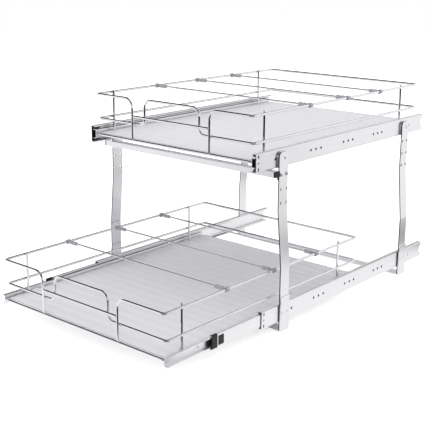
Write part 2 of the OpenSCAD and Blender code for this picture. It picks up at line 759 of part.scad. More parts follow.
base_plate(false);  // front_base_plate
base_plate(true);  // rear_base_plate
leg(false, LEFT);  // front_left_leg
leg(false, RIGHT);  // front_right_leg
leg(true, LEFT);  // rear_left_leg
leg(true, RIGHT);  // rear_right_leg
leg_pads();
top_crossbar();
crossbar_caps();
leg_screws();
rivets();
outer_rail(LOWER, LEFT);  // lower_left_outer_rail
outer_rail(LOWER, RIGHT);  // lower_right_outer_rail
outer_rail(UPPER, LEFT);  // upper_left_outer_rail
outer_rail(UPPER, RIGHT);  // upper_right_outer_rail
rail_bumpers();
middle_rail(LOWER, LEFT);  // lower_left_middle_rail
middle_rail(LOWER, RIGHT);  // lower_right_middle_rail
middle_rail(UPPER, LEFT);  // upper_left_middle_rail
middle_rail(UPPER, RIGHT);  // upper_right_middle_rail
middle_bumpers(LOWER, LEFT);  // lower_left_middle_bumpers
middle_bumpers(LOWER, RIGHT);  // lower_right_middle_bumpers
middle_bumpers(UPPER, LEFT);  // upper_left_middle_bumpers
middle_bumpers(UPPER, RIGHT);  // upper_right_middle_bumpers
outer_cage(LOWER, LEFT);  // lower_left_outer_cage
outer_cage(LOWER, RIGHT);  // lower_right_outer_cage
outer_cage(UPPER, LEFT);  // upper_left_outer_cage
outer_cage(UPPER, RIGHT);  // upper_right_outer_cage
inner_cage(LOWER, LEFT);  // lower_left_inner_cage
inner_cage(LOWER, RIGHT);  // lower_right_inner_cage
inner_cage(UPPER, LEFT);  // upper_left_inner_cage
inner_cage(UPPER, RIGHT);  // upper_right_inner_cage
inner_rail(LOWER, LEFT);  // lower_left_inner_rail
inner_rail(LOWER, RIGHT);  // lower_right_inner_rail
inner_rail(UPPER, LEFT);  // upper_left_inner_rail
inner_rail(UPPER, RIGHT);  // upper_right_inner_rail
rim_wire(LOWER);  // lower_rim_wire
ring_wire(LOWER);  // lower_ring_wire
front_bar(LOWER);  // lower_front_bar
floor_grid(LOWER);  // lower_floor_grid
side_posts(LOWER);  // lower_side_posts
liner(LOWER);  // lower_liner
rim_wire(UPPER);  // upper_rim_wire
ring_wire(UPPER);  // upper_ring_wire
front_bar(UPPER);  // upper_front_bar
floor_grid(UPPER);  // upper_floor_grid
side_posts(UPPER);  // upper_side_posts
liner(UPPER);  // upper_liner
divider_rod(LOWER, 1);  // lower_divider_rod_1
divider_rod(LOWER, 2);  // lower_divider_rod_2
divider_rod(LOWER, 3);  // lower_divider_rod_3
divider_rod(UPPER, 1);  // upper_divider_rod_1
divider_rod(UPPER, 2);  // upper_divider_rod_2
divider_rod(UPPER, 3);  // upper_divider_rod_3
divider_clips(LOWER, 1);  // lower_divider_clips_1
divider_clips(LOWER, 2);  // lower_divider_clips_2
divider_clips(LOWER, 3);  // lower_divider_clips_3
divider_clips(UPPER, 1);  // upper_divider_clips_1
divider_clips(UPPER, 2);  // upper_divider_clips_2
divider_clips(UPPER, 3);  // upper_divider_clips_3
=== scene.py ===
# Dresses a two-tier pull-out cabinet organizer: chromed wire baskets with frosted liners and
# clip-on dividers, on zinc-plated ball slides that four strap legs carry.
# Lengths are in metres; X runs to the right, Y to the back of the cabinet, Z up.

import math

import bmesh
import bpy
from bpy.props import FloatProperty, FloatVectorProperty, PointerProperty
from bpy.types import Operator, Panel, PropertyGroup
from mathutils import Matrix, Vector


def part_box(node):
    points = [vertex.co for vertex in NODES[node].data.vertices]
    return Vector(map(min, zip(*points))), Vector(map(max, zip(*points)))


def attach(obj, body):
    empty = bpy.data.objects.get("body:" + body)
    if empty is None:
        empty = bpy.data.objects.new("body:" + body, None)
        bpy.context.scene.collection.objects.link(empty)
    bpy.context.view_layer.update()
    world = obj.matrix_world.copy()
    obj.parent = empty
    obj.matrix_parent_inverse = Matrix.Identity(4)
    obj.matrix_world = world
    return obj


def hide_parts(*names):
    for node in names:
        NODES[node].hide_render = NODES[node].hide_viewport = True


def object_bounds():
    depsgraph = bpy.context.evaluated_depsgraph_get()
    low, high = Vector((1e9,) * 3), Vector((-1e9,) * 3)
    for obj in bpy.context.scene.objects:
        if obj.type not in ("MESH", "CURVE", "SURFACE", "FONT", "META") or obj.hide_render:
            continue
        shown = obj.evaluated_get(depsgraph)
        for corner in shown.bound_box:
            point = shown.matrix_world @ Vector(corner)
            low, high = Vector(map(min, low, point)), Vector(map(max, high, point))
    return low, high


bl_info = {
    "name": "Pull-out Cabinet Organizer",
    "version": (1, 0, 0),
    "blender": (4, 5, 0),
    "location": "3D View > Sidebar > Organizer",
    "description": "Builds and dresses a two-tier wire organizer on ball slides",
    "category": "Object",
}

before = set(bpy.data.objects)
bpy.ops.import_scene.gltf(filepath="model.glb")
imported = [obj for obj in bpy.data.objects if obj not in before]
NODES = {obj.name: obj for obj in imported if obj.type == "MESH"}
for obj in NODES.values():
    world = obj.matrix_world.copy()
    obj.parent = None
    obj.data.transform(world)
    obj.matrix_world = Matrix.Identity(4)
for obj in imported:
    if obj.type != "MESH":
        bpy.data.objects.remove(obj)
CAD_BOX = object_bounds()

MM = 0.001
TIERS = ("lower", "upper")
SLIDES = tuple((tier, side) for tier in TIERS for side in ("left", "right"))
CORNERS = ("front_left", "front_right", "rear_left", "rear_right")
DIVIDERS = (1, 2, 3)
WHITE = (1.0, 1.0, 1.0, 1.0)


# ---------- colour and shader helpers ----------

def linear(hex_colour):
    """Turns an sRGB colour such as "#D9DCDF" into linear RGB."""
    parts = [int(hex_colour[i:i + 2], 16) / 255 for i in (1, 3, 5)]
    return tuple(c / 12.92 if c <= 0.04045 else ((c + 0.055) / 1.055) ** 2.4 for c in parts)


def add_node(tree, kind, inputs=None, links=None, **settings):
    """Adds one node with its own settings, the values of its inputs and the links into them."""
    node = tree.nodes.new(kind)
    for name, value in settings.items():
        setattr(node, name, value)
    for key, value in (inputs or {}).items():
        node.inputs[key].default_value = value
    for key, source in (links or {}).items():
        tree.links.new(source, node.inputs[key])
    return node


def finish_colour(finish):
    """The colour that the sidebar has for a finish."""
    return tuple(getattr(bpy.context.scene.organizer_colours, finish))


def start_material(name, finish, **shader):
    """A new material in a finish's colour; returns it, its node tree and its Principled shader."""
    material = bpy.data.materials.new(name)
    material.use_nodes = True
    tree = material.node_tree
    principled = tree.nodes["Principled BSDF"]
    principled.inputs["Base Color"].default_value = (*finish_colour(finish), 1.0)
    for socket, value in shader.items():
        principled.inputs[socket.replace("_", " ")].default_value = value
    return material, tree, principled


def grain(tree, size, detail=3.0):
    """Noise whose features measure size on X, Y and Z, in millimetres."""
    place = add_node(tree, "ShaderNodeTexCoord").outputs["Object"]
    scaled = add_node(
        tree, "ShaderNodeVectorMath", operation="MULTIPLY",
        inputs={1: tuple(1 / (s * MM) for s in size)}, links={0: place})
    noise = add_node(
        tree, "ShaderNodeTexNoise", inputs={"Scale": 1.0, "Detail": detail},
        links={"Vector": scaled.outputs[0]})
    return noise.outputs["Fac"]


def texture_surface(tree, principled, polish, rough, relief, height):
    """Varies the roughness over a range with one pattern, and raises the surface with another.

    Height is how far it is raised, in millimetres."""
    # the middle of a noise, where most of it lies, is stretched over the range
    ranged = add_node(
        tree, "ShaderNodeMapRange", links={"Value": polish},
        inputs={"From Min": 0.3, "From Max": 0.7, "To Min": rough[0], "To Max": rough[1]})
    raised = add_node(
        tree, "ShaderNodeBump", links={"Height": relief},
        inputs={"Strength": 1.0, "Distance": height * MM})
    tree.links.new(ranged.outputs["Result"], principled.inputs["Roughness"])
    tree.links.new(raised.outputs["Normal"], principled.inputs["Normal"])


def shade_colour(tree, principled, pattern, finish, share):
    """Darkens a finish to a share of its colour where the pattern is 0."""
    colour = finish_colour(finish)
    # sockets 6 and 7 and output 2 are the ones for colours
    mix = add_node(
        tree, "ShaderNodeMix", data_type="RGBA", links={"Factor": pattern},
        inputs={6: (*(c * share for c in colour), 1.0), 7: (*colour, 1.0)})
    tree.links.new(mix.outputs[2], principled.inputs["Base Color"])


# strength of what is painted black in the room that metal mirrors
BLACK = 0.02


def paint_edges(tree, edges):
    """Soft edges of painted areas, each with what it runs along, its start and end, and the
    strength before it and past it."""
    painted = []
    for along, start, end, before, past in edges:
        node = add_node(
            tree, "ShaderNodeMapRange", interpolation_type="SMOOTHSTEP", links={"Value": along},
            inputs={"From Min": start, "From Max": end, "To Min": before, "To Max": past})
        painted.append(node.outputs["Result"])
    return painted


def seen_itself(tree, paths):
    """1 for rays that show a surface itself, from the camera or through a clip, and else 0."""
    seen = add_node(
        tree, "ShaderNodeMath", operation="MAXIMUM",
        links={0: paths["Is Camera Ray"], 1: paths["Is Transmission Ray"]})
    return seen.outputs[0]


# ---------- materials ----------

def chromed_steel_wire():
    """Drawn steel wire under bright nickel-chrome plating: a mirror with a faint ripple."""
    material, tree, principled = start_material("chromed_steel_wire", "chrome", Metallic=1.0)
    # plating evens the wire out but leaves patches of slightly softer polish along it
    patches = grain(tree, (9, 9, 9), detail=2.0)
    ripple = grain(tree, (1.2, 1.2, 1.2))
    texture_surface(tree, principled, patches, (0.03, 0.08), ripple, 0.01)
    return material


def rolled_zinc(name, finish, streak, rough):
    """Cold-rolled steel strip under bright zinc: a soft mirror with streaks along the rolling."""
    material, tree, principled = start_material(name, finish, Metallic=1.0)
    streaks = grain(tree, streak)
    clouds = grain(tree, (35, 35, 35), detail=2.0)
    shade_colour(tree, principled, clouds, finish, 0.96)
    texture_surface(tree, principled, streaks, rough, streaks, 0.004)
    return material


def zinc_plated_rail():
    """The slides' rails: roll-formed, so the streaks run along Y."""
    return rolled_zinc("zinc_plated_rail", "rail", (0.7, 40, 0.7), (0.28, 0.36))


def greased_raceway():
    """The walls of the holes into the ball channels: old grease that has crept out, painted near
    black as the shade inside the holes.
    """
    material, tree, principled = start_material("greased_raceway", "grease", IOR=1.47)
    smears = grain(tree, (2, 12, 2))
    texture_surface(tree, principled, smears, (0.35, 0.6), smears, 0.05)
    return material


def zinc_plated_strap():
    """The legs and the pads behind them: bright strap, rolled along Z."""
    return rolled_zinc("zinc_plated_strap", "strap", (0.8, 0.8, 45), (0.22, 0.28))


def zinc_plated_cross_strap():
    """The base plates and the crossbar: the same strap, rolled along X."""
    return rolled_zinc("zinc_plated_cross_strap", "strap", (45, 0.8, 0.8), (0.22, 0.28))


def sheared_steel_edge():
    """Cut edges of the strap and flanks of the screws: torn, thinly plated and much duller. Their
    near-black colour is painted shade, as these narrow faces and hole walls lie in shade.
    """
    material, tree, principled = start_material("sheared_steel_edge", "cut_edge", Metallic=1.0)
    tear = grain(tree, (0.5, 0.5, 2.5))
    texture_surface(tree, principled, tear, (0.45, 0.65), tear, 0.06)
    return material


def pressed_cage_steel():
    """Stamped cage strip and ground balls with a film of grease."""
    material, tree, principled = start_material("pressed_cage_steel", "cage", Metallic=1.0)
    film = grain(tree, (3, 8, 3))
    texture_surface(tree, principled, film, (0.15, 0.4), film, 0.02)
    return material


def zinc_plated_fastener():
    """Cold-headed screws and rivets under bright zinc, with turned and scuffed heads."""
    material, tree, principled = start_material("zinc_plated_fastener", "fastener", Metallic=1.0)
    scuffs = grain(tree, (0.4, 0.4, 0.4))
    texture_surface(tree, principled, scuffs, (0.2, 0.42), scuffs, 0.02)
    return material


def frosted_polypropylene_sheet():
    """Extruded translucent sheet with a fine frosted grain; the floor wires show through it, with
    painted shade where it lies on them.
    """
    material, tree, principled = start_material(
        "frosted_polypropylene_sheet", "liner", IOR=1.49, Alpha=0.82, Specular_IOR_Level=0.4)
    # painted shade: the sheet is darkened where it lies on a floor wire, as a contact shadow, and
    # left lighter where it hangs free
    free = add_node(tree, "ShaderNodeAttribute", attribute_name="free_of_wire").outputs["Fac"]
    shade_colour(tree, principled, free, "liner", 0.95)
    # extrusion lines run across the basket and catch the light in bands
    bands = grain(tree, (160, 7, 7), detail=2.0)
    # the real grain is about 0.1 mm; drawn at 0.8 mm so that it shows
    frost = grain(tree, (0.8, 0.8, 0.8))
    texture_surface(tree, principled, bands, (0.34, 0.5), frost, 0.03)
    return material


def smoked_polycarbonate():
    """Injection-moulded clips: tinted, partly clear, with a soft mould polish."""
    material, tree, principled = start_material(
        "smoked_polycarbonate", "clip", IOR=1.585, Transmission_Weight=0.3)
    flow = grain(tree, (2.5, 2.5, 2.5))
    texture_surface(tree, principled, flow, (0.18, 0.32), flow, 0.03)
    return material


def black_acetal():
    """Moulded guides and bumpers: slightly waxy black acetal with spark-eroded grain."""
    material, tree, principled = start_material("black_acetal", "acetal", IOR=1.48)
    spark = grain(tree, (0.35, 0.35, 0.35))
    texture_surface(tree, principled, spark, (0.38, 0.55), spark, 0.03)
    return material


def matte_paper():
    """Seamless studio paper, white to the eye but still taking a shadow."""
    lift_to_white = 0.5
    # level directions: from the frame's origin to the camera, and along the view to the far right
    to_camera, to_far_right = (0.756, -0.655, 0.0), (0.65, 0.76, 0.0)
    material, tree, principled = start_material(
        "matte_paper", "paper", Roughness=0.9, IOR=1.45, Specular_IOR_Level=0.0)
    fibres = add_node(
        tree, "ShaderNodeBump", links={"Height": grain(tree, (1.5, 1.5, 1.5))},
        inputs={"Strength": 1.0, "Distance": 0.02 * MM})
    tree.links.new(fibres.outputs["Normal"], principled.inputs["Normal"])
    # lifts the paper to white where it is seen, but not the light that it gives
    paths = add_node(tree, "ShaderNodeLightPath").outputs
    lift = add_node(
        tree, "ShaderNodeMath", operation="MULTIPLY", links={0: seen_itself(tree, paths)},
        inputs={1: lift_to_white})
    glow = add_node(
        tree, "ShaderNodeEmission", inputs={"Color": WHITE}, links={"Strength": lift.outputs[0]})
    both = add_node(
        tree, "ShaderNodeAddShader", links={0: principled.outputs[0], 1: glow.outputs[0]})
    # painted reflection: what metal mirrors of the paper is a painted glow standing in for the lit
    # paper, painted dark towards the camera and dim in a strip on the far right
    place = add_node(tree, "ShaderNodeTexCoord").outputs["Object"]
    forward, backward = (
        add_node(
            tree, "ShaderNodeVectorMath", operation="DOT_PRODUCT", inputs={1: direction},
            links={0: place}).outputs["Value"]
        for direction in (to_camera, to_far_right))
    # the distances are in metres from the frame's origin
    painted_pool_edge, strip, past_strip = paint_edges(tree, (
        (forward, 0.33, 0.38, 1.0, BLACK),
        (backward, 0.6, 0.68, 1.0, 0.4),
        (backward, 0.8, 0.95, 0.0, 1.0)))
    behind = add_node(tree, "ShaderNodeMath", operation="MAXIMUM", links={0: strip, 1: past_strip})
    strength = add_node(
        tree, "ShaderNodeMath", operation="MINIMUM", links={0: painted_pool_edge, 1: behind.outputs[0]})
    painted_pool_glow = add_node(
        tree, "ShaderNodeEmission", inputs={"Color": WHITE}, links={"Strength": strength.outputs[0]})
    mirrored = add_node(
        tree, "ShaderNodeMixShader",
        links={0: paths["Is Glossy Ray"], 1: both.outputs[0], 2: painted_pool_glow.outputs[0]})
    tree.links.new(mirrored.outputs[0], tree.nodes["Material Output"].inputs["Surface"])
    return material


def finish_of(maker):
    """The material that a maker function gives, made once."""
    return bpy.data.materials.get(maker.__name__) or maker()


# ---------- mesh helpers ----------

# distance of the extra ring on a wire's straight run from the bend next to it
HOLD = 1.0 * MM
# rings that round a wire's open end, as if it was cut and tumbled: each one's distance from the end
# as a share of the rounding, and its radius as a share of the wire's; the last holds the shading
END_RINGS = ((0.0, 0.55), (0.45, 0.88), (1.0, 1.0), (1.8, 1.0))
# length of that rounding as a share of the wire's radius
END_ROUNDING = 0.5
# edges sharper than this are softened, and faces flatter than this are made one
SHARP_ANGLE = math.radians(50)
FLAT_ANGLE = math.radians(0.5)


def rounded_path(corners, radii, closed=False, steps=10):
    """Points along a bent wire: straight runs between corners and an arc at each corner."""
    count = len(corners)
    points = []
    for i, corner in enumerate(corners):
        at = Vector(corner)
        if not closed and i in (0, count - 1):
            points.append(at)
            continue
        back = (Vector(corners[i - 1]) - at).normalized()
        ahead = (Vector(corners[(i + 1) % count]) - at).normalized()
        half_angle = back.angle(ahead) / 2
        reach = radii[i] / math.tan(half_angle)
        centre = at + (back + ahead).normalized() * (radii[i] / math.sin(half_angle))
        first = (at + back * reach - centre).normalized()
        last = (at + ahead * reach - centre).normalized()
        # a ring just outside each end of the bend keeps the shading of the straight runs straight
        points.append(at + back * (reach + HOLD))
        for k in range(steps + 1):
            points.append(centre + first.slerp(last, k / steps) * radii[i])
        points.append(at + ahead * (reach + HOLD))
    return points


def ring_frames(points, closed):
    """A side vector for each point of a path, carried along it without twisting."""
    count = len(points)
    tangents = []
    for i in range(count):
        before = points[i - 1] if closed or i else points[0]
        after = points[(i + 1) % count] if closed or i < count - 1 else points[-1]
        tangents.append((after - before).normalized())
    side = tangents[0].orthogonal().normalized()
    sides = [side]
    for i in range(1, count):
        side = tangents[i - 1].rotation_difference(tangents[i]) @ side
        side = (side - tangents[i] * side.dot(tangents[i])).normalized()
        sides.append(side)
    if closed:
        home = tangents[-1].rotation_difference(tangents[0]) @ side
        twist = math.atan2(home.cross(sides[0]).dot(tangents[0]), home.dot(sides[0]))
        sides = [
            Matrix.Rotation(twist * i / count, 3, tangents[i]) @ s for i, s in enumerate(sides)]
    return tangents, sides


def add_ring(bm, centre, side, across, radius, around):
    """A ring of vertices in the plane of two directions; one vertex where the radius is 0."""
    if radius == 0:
        return [bm.verts.new(centre)]
    turns = [math.tau * k / around for k in range(around)]
    return [
        bm.verts.new(centre + (side * math.cos(t) + across * math.sin(t)) * radius) for t in turns]


def join_rings(bm, ring, following):
    """Faces between two rings; one of them may be a single vertex."""
    around = max(len(ring), len(following))
    for k in range(around):
        n = (k + 1) % around
        if len(ring) == 1:
            bm.faces.new((ring[0], following[n], following[k]))
        elif len(following) == 1:
            bm.faces.new((ring[k], ring[n], following[0]))
        else:
            bm.faces.new((ring[k], ring[n], following[n], following[k]))


def add_wire(bm, points, diameter, closed=False, around=16):
    """Sweeps a round wire along a path; an open wire gets softly rounded ends."""
    radius = diameter / 2
    rounding = radius * END_ROUNDING
    tangents, sides = ring_frames(points, closed)
    rings = []
    for i, (point, tangent, side) in enumerate(zip(points, tangents, sides)):
        stations = [(point, radius)]
        if not closed and i == 0:
            stations = [(point + tangent * rounding * a, radius * b) for a, b in END_RINGS]
        if not closed and i == len(points) - 1:
            stations = [(point - tangent * rounding * a, radius * b) for a, b in reversed(END_RINGS)]
        across = tangent.cross(side)
        rings += [add_ring(bm, centre, side, across, r, around) for centre, r in stations]
    for ring, following in zip(rings, rings[1:]):
        join_rings(bm, ring, following)
    if closed:
        join_rings(bm, rings[-1], rings[0])
    else:
        bm.faces.new(list(reversed(rings[0])))
        bm.faces.new(rings[-1])


def add_straight_wire(bm, start, end, diameter, around=16):
    """A straight wire between two places."""
    add_wire(bm, [Vector(start), Vector(end)], diameter, around=around)


def add_weld(bm, place, size):
    """The small lump of upset metal where two crossing wires are resistance welded."""
    bmesh.ops.create_icosphere(bm, subdivisions=2, radius=size, matrix=Matrix.Translation(place))


def add_lathe(bm, place, direction, outline, around=24):
    """Turns an outline of distances along a direction and radii; a radius of 0 closes an end."""
    axis = Vector(direction).normalized()
    side = axis.orthogonal().normalized()
    across = axis.cross(side)
    rings = [
        add_ring(bm, Vector(place) + axis * along, side, across, radius, around)
        for along, radius in outline]
    for ring, following in zip(rings, rings[1:]):
        join_rings(bm, ring, following)


def make_piece(name, bm, body, maker, replaced=(), smooth_below=40):
    """Turns mesh data into a piece in a maker's material; it rides on a body and replaces nodes."""
    bmesh.ops.recalc_face_normals(bm, faces=bm.faces)
    mesh = bpy.data.meshes.new(name)
    bm.to_mesh(mesh)
    bm.free()
    mesh.materials.append(finish_of(maker))
    piece = bpy.data.objects.new(name, mesh)
    bpy.context.scene.collection.objects.link(piece)
    mesh.shade_smooth()
    mesh.set_sharp_from_angle(angle=math.radians(smooth_below))
    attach(piece, body)
    if replaced:
        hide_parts(*replaced)
    return piece


def plate_wires(tier, name, bm, node):
    """Chromes one of a basket's wire pieces; it rides on the basket and replaces its CAD node."""
    make_piece(f"{tier}_{name}", bm, f"{tier}_basket", chromed_steel_wire,
               replaced=(f"{tier}_{node}",))


def soften_edges(piece, width):
    """Rounds the sharp edges of a piece a little, as tumbling and plating leave them."""
    bevel = piece.modifiers.new("worn_edges", "BEVEL")
    bevel.width = width
    bevel.segments = 2
    bevel.limit_method = "ANGLE"
    bevel.angle_limit = SHARP_ANGLE
    bevel.use_clamp_overlap = True
    bevel.harden_normals = True


def refinish(node, maker):
    """Gives a CAD node's own mesh a maker's material."""
    materials = NODES[node].data.materials
    materials.clear()
    materials.append(finish_of(maker))


def finer_copy(name, node, body, maker, width):
    """Replaces a CAD node by a copy with its flat faces whole and its edges softened."""
    bm = bmesh.new()
    bm.from_mesh(NODES[node].data)
    bmesh.ops.remove_doubles(bm, verts=bm.verts, dist=0.001 * MM)
    bmesh.ops.dissolve_limit(
        bm, angle_limit=FLAT_ANGLE, verts=bm.verts, edges=bm.edges, use_dissolve_boundaries=False)
    piece = make_piece(name, bm, body, maker, replaced=(node,), smooth_below=30)
    soften_edges(piece, width)
    return piece


# ---------- sizes and colours that a user would change ----------

def length_property(label, purpose, size, least=0.0, most=1000.0):
    """A length that the sidebar shows, from its size and limits in millimetres."""
    return FloatProperty(
        name=label, description=purpose, unit="LENGTH",
        default=size * MM, min=least * MM, max=most * MM)


class OrganizerWires(PropertyGroup):
    """Sizes of the basket wires that the frame's boxes do not give."""
    wire: length_property("Wire", "Thickness of the basket wires", 4.8, least=1)
    floor_wire: length_property("Floor wire", "Thickness of the wires under the liner", 3, least=1)
    corner: length_property("Corner radius", "Radius of the baskets' corners", 5, least=3)
    rim_bend: length_property(
        "Rim bend", "Radius of the bends where the rim turns down", 18, least=3)
    arch_bend: length_property(
        "Arch bend", "Radius of the bends at the top of the arch", 15, least=3)
    foot_bend: length_property(
        "Foot bend", "Radius of the bends at the foot of the arch", 12, least=3)
    arch: length_property(
        "Arch width", "Width of the raised arch between its uprights", 134, least=20)
    floor_pitch: length_property(
        "Floor pitch", "Spacing of the wires under the liner", 25, least=10)
    weld: length_property("Weld", "Radius of the lump of metal at a weld", 1.5, least=0.5)


class OrganizerPlastics(PropertyGroup):
    """Sizes of the liner, of the divider clips and of the rods in them."""
    sag: length_property("Liner sag", "How far the liner sinks between two floor wires", 0.35)
    liner_corner: length_property("Liner corner", "Radius of the liner's corners", 2, least=1)
    ring: length_property(
        "Clip ring", "Outer diameter of the clip's ring round the rim", 9, least=5)
    ring_length: length_property(
        "Ring length", "Length of the clip's ring along the rim", 8, least=2)
    sleeve: length_property(
        "Clip sleeve", "Diameter of the clip's sleeve round the rod", 7.6, least=4)
    sleeve_length: length_property("Sleeve length", "Length of the clip's sleeve", 18, least=5)
    rod: length_property("Rod", "Thickness of the divider rods", 3.4, least=1)


class OrganizerEdges(PropertyGroup):
    """How much the edges of the metal and black plastic pieces are rounded."""
    rail_edge: length_property("Rail edge", "Rounding of the slides' cut edges", 0.25)
    strap_edge: length_property("Strap edge", "Rounding of the straps' long edges", 0.45)
    cap_edge: length_property("Cap edge", "Rounding of the crossbar's caps", 0.5)
    bumper_edge: length_property(
        "Bumper edge", "Rounding of the middle rails' plastic pieces", 0.25)
    guide_edge: length_property(
        "Guide edge", "Rounding of the guides, whose webs are 0.5 mm thin", 0.15, most=0.2)


def colour_property(label, purpose, hex_colour):
    """A colour that the sidebar shows, from its sRGB hex value."""
    return FloatVectorProperty(
        name=label, description=purpose, subtype="COLOR", size=3, min=0.0, max=1.0,
        default=linear(hex_colour))


class OrganizerColours(PropertyGroup):
    """Base colours of the finishes."""
    chrome: colour_property("Chrome", "Bright chrome plating", "#EFEFF2")
    rail: colour_property("Rail zinc", "Zinc-plated rails", "#F4F4F6")
    # painted shade: near black, so that the holes' walls read as the shade inside the holes
    grease: colour_property("Grease", "Greased holes of the fixed rails", "#1B1A19")
    strap: colour_property("Strap zinc", "Zinc-plated straps", "#EFEFF2")
    # painted shade: near black, so that cut edges, hole walls and screw flanks read as lying in shade
    cut_edge: colour_property("Cut edge", "Sheared edges of the straps", "#3A3B3E")
    cage: colour_property("Cage steel", "Ball cages", "#B9BABD")
    fastener: colour_property("Fasteners", "Screw and rivet heads", "#E8E8EA")
    liner: colour_property("Liner", "Frosted liner sheet", "#E9E9ED")
    clip: colour_property("Clips", "Smoked divider clips", "#B4B5BB")
    acetal: colour_property("Black plastic", "Guides, caps and bumpers", "#101012")
    paper: colour_property("Paper", "Studio floor", "#F4F4F4")


class OrganizerStage(PropertyGroup):
    """Camera, light and floor."""
    camera_place: FloatVectorProperty(
        name="Camera place", description="Where the camera stands", subtype="TRANSLATION",
        unit="LENGTH", default=(1.1297, -1.2521, 0.6444))
    heading: FloatProperty(
        name="Heading", description="Direction the camera looks in, from +X towards +Y",
        subtype="ANGLE", default=math.radians(130.7))
    pitch: FloatProperty(
        name="Pitch", description="Tilt of the camera above the horizon",
        subtype="ANGLE", default=math.radians(-15.59))
    roll: FloatProperty(
        name="Roll", description="Turn of the camera about its own view line",
        subtype="ANGLE", default=math.radians(-0.4))
    lens: FloatProperty(
        name="Lens", description="Focal length in millimetres on a 36 mm sensor",
        default=77.46, min=10.0)
    lamp: FloatProperty(
        name="Lamp", description="Power of the softbox overhead, in watts",
        default=5.0, min=0.0)
    lamp_place: FloatVectorProperty(
        name="Lamp place", description="Where the softbox hangs", subtype="TRANSLATION",
        unit="LENGTH", default=(0.35, 0.0, 2.3))
    lamp_aim: FloatVectorProperty(
        name="Lamp aim", description="What the softbox points at", subtype="TRANSLATION",
        unit="LENGTH", default=(0.0, 0.1, 0.2))
    lamp_size: FloatProperty(
        name="Lamp size", description="Length of the square softbox's sides",
        default=1.5, min=0.01, unit="LENGTH")
    room: FloatProperty(
        name="Room", description="Strength of the light that the white room gives",
        default=1.12, min=0.0)
    floor_size: FloatProperty(
        name="Floor size", description="Length of the square paper floor's sides",
        default=12.0, min=1.0, unit="LENGTH")


# ---------- places that the pieces share ----------

def basket_frame(tier):
    """Where a basket's wires run, read from the frame's boxes."""
    wires = bpy.context.scene.organizer_wires
    half_wire = wires.wire / 2
    rim_low, rim_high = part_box(f"{tier}_rim_wire")
    ring_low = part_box(f"{tier}_ring_wire")[0]
    floor_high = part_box(f"{tier}_floor_grid")[1]
    bar_low, bar_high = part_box(f"{tier}_front_bar")
    post_low, post_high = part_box(f"{tier}_side_posts")
    return {
        "side": rim_high.x - half_wire,
        "front": rim_low.y + half_wire,
        "back": rim_high.y - half_wire,
        "rim": rim_high.z - half_wire,
        "rim_foot": rim_low.z,
        "ring": ring_low.z + half_wire,
        "ring_front": ring_low.y + half_wire,
        "floor": floor_high.z - half_wire,
        "bar": (bar_low.z + bar_high.z) / 2,
        "gate": bar_high.x + half_wire,
        "post_side": post_high.x - half_wire,
        "post_front": post_low.y + half_wire,
        "post_back": post_high.y - half_wire,
        "post_foot": post_low.z,
        "post_top": post_high.z,
    }


def both_sides(x):
    """The two mirrored places of a distance from the middle."""
    return (-x, x)


# ---------- operators: one for each piece or group of like pieces ----------

class ORGANIZER_OT_rim_wires(Operator):
    """Bends each basket's rim: round the sides and back, and down at the gap in the front"""
    bl_idname = "organizer.rim_wires"
    bl_label = "Rim wires"

    def execute(self, context):
        wires = context.scene.organizer_wires
        for tier in TIERS:
            at = basket_frame(tier)
            gate, side, front, back = at["gate"], at["side"], at["front"], at["back"]
            foot, top = at["rim_foot"], at["rim"]
            corners = [
                (-gate, front, foot), (-gate, front, top), (-side, front, top), (-side, back, top),
                (side, back, top), (side, front, top), (gate, front, top), (gate, front, foot)]
            bend, corner = wires.rim_bend, wires.corner
            radii = [0, bend, corner, corner, corner, corner, bend, 0]
            bm = bmesh.new()
            add_wire(bm, rounded_path(corners, radii), wires.wire)
            for x in both_sides(gate):
                add_weld(bm, (x, front + wires.wire / 2, at["ring"]), wires.weld)
                add_weld(bm, (x, front, foot), wires.weld)
            plate_wires(tier, "rim", bm, "rim_wire")
        return {"FINISHED"}


class ORGANIZER_OT_ring_wires(Operator):
    """Bends each basket's middle ring, whose front rises in an arch"""
    bl_idname = "organizer.ring_wires"
    bl_label = "Ring wires"

    def execute(self, context):
        wires = context.scene.organizer_wires
        for tier in TIERS:
            at = basket_frame(tier)
            arch = wires.arch / 2
            side, front, back = at["side"], at["ring_front"], at["back"]
            low, top = at["ring"], at["rim"]
            corners = [
                (-arch, front, top), (-arch, front, low), (-side, front, low), (-side, back, low),
                (side, back, low), (side, front, low), (arch, front, low), (arch, front, top)]
            bend, foot, corner = wires.arch_bend, wires.foot_bend, wires.corner
            radii = [bend, foot, corner, corner, corner, corner, foot, bend]
            bm = bmesh.new()
            add_wire(bm, rounded_path(corners, radii, closed=True), wires.wire, closed=True)
            plate_wires(tier, "ring", bm, "ring_wire")
        return {"FINISHED"}


class ORGANIZER_OT_front_bars(Operator):
    """Sets a straight bar between the two ends of each rim and welds it to the arch behind it"""
    bl_idname = "organizer.front_bars"
    bl_label = "Front bars"

    def execute(self, context):
        wires = context.scene.organizer_wires
        for tier in TIERS:
            at = basket_frame(tier)
            reach, front, z = at["gate"] - wires.wire / 2, at["front"], at["bar"]
            bm = bmesh.new()
            add_straight_wire(bm, (-reach, front, z), (reach, front, z), wires.wire)
            for x in both_sides(reach):
                add_weld(bm, (x, front, z), wires.weld)
            for x in both_sides(wires.arch / 2):
                add_weld(bm, (x, front + wires.wire / 2, z), wires.weld)
            plate_wires(tier, "bar", bm, "front_bar")
        return {"FINISHED"}


